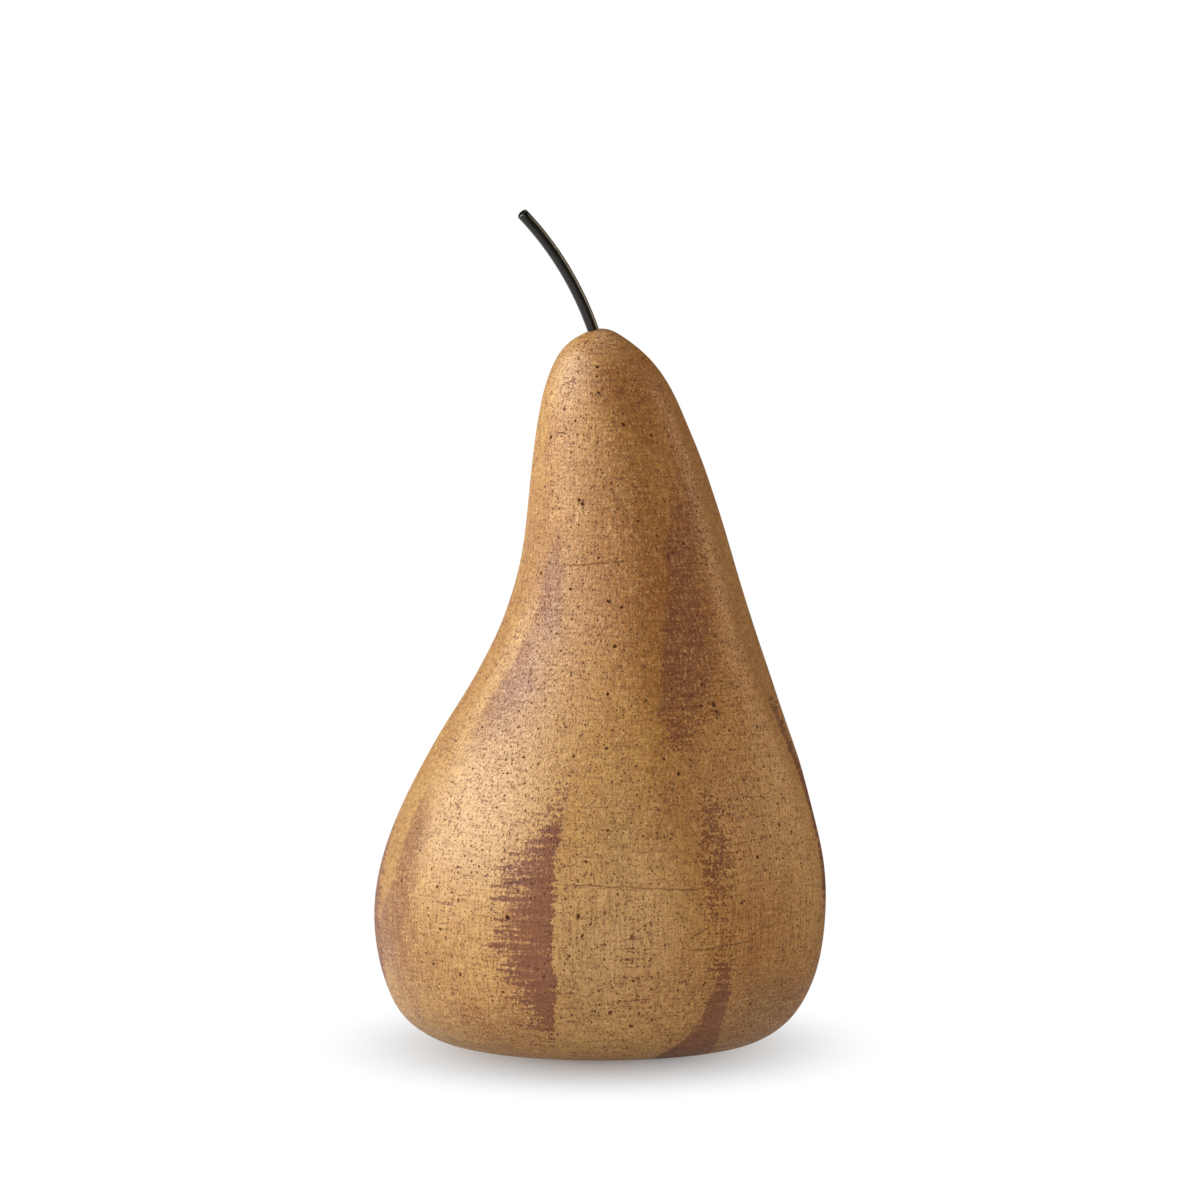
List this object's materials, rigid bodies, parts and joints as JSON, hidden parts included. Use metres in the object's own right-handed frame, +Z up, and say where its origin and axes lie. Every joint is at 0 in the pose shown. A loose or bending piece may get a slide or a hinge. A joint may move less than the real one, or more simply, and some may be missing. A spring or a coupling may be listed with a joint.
{
  "type": "decorative pear",
  "caption": "Carved, painted pear-shaped table ornament with soft vertical facets, a flat foot and a bent black wire stem.",
  "frame": {"origin": "middle of the object's box, at the height of the flat spot that it stands on", "axes": "+Z up through the neck to the stem, +X to the right, front towards -Y"},
  "size_m": [0.1175, 0.1138, 0.2177],
  "materials": {
    "painted_body": "ochre paint dry-brushed over a red-brown ground, finely pitted, rubbed to a satin wax sheen",
    "black_lacquer": "satin black lacquer on round steel wire"
  },
  "bodies": {
    "root": {"pear_body": "painted_body", "stem": "black_lacquer"}
  },
  "joints": []
}
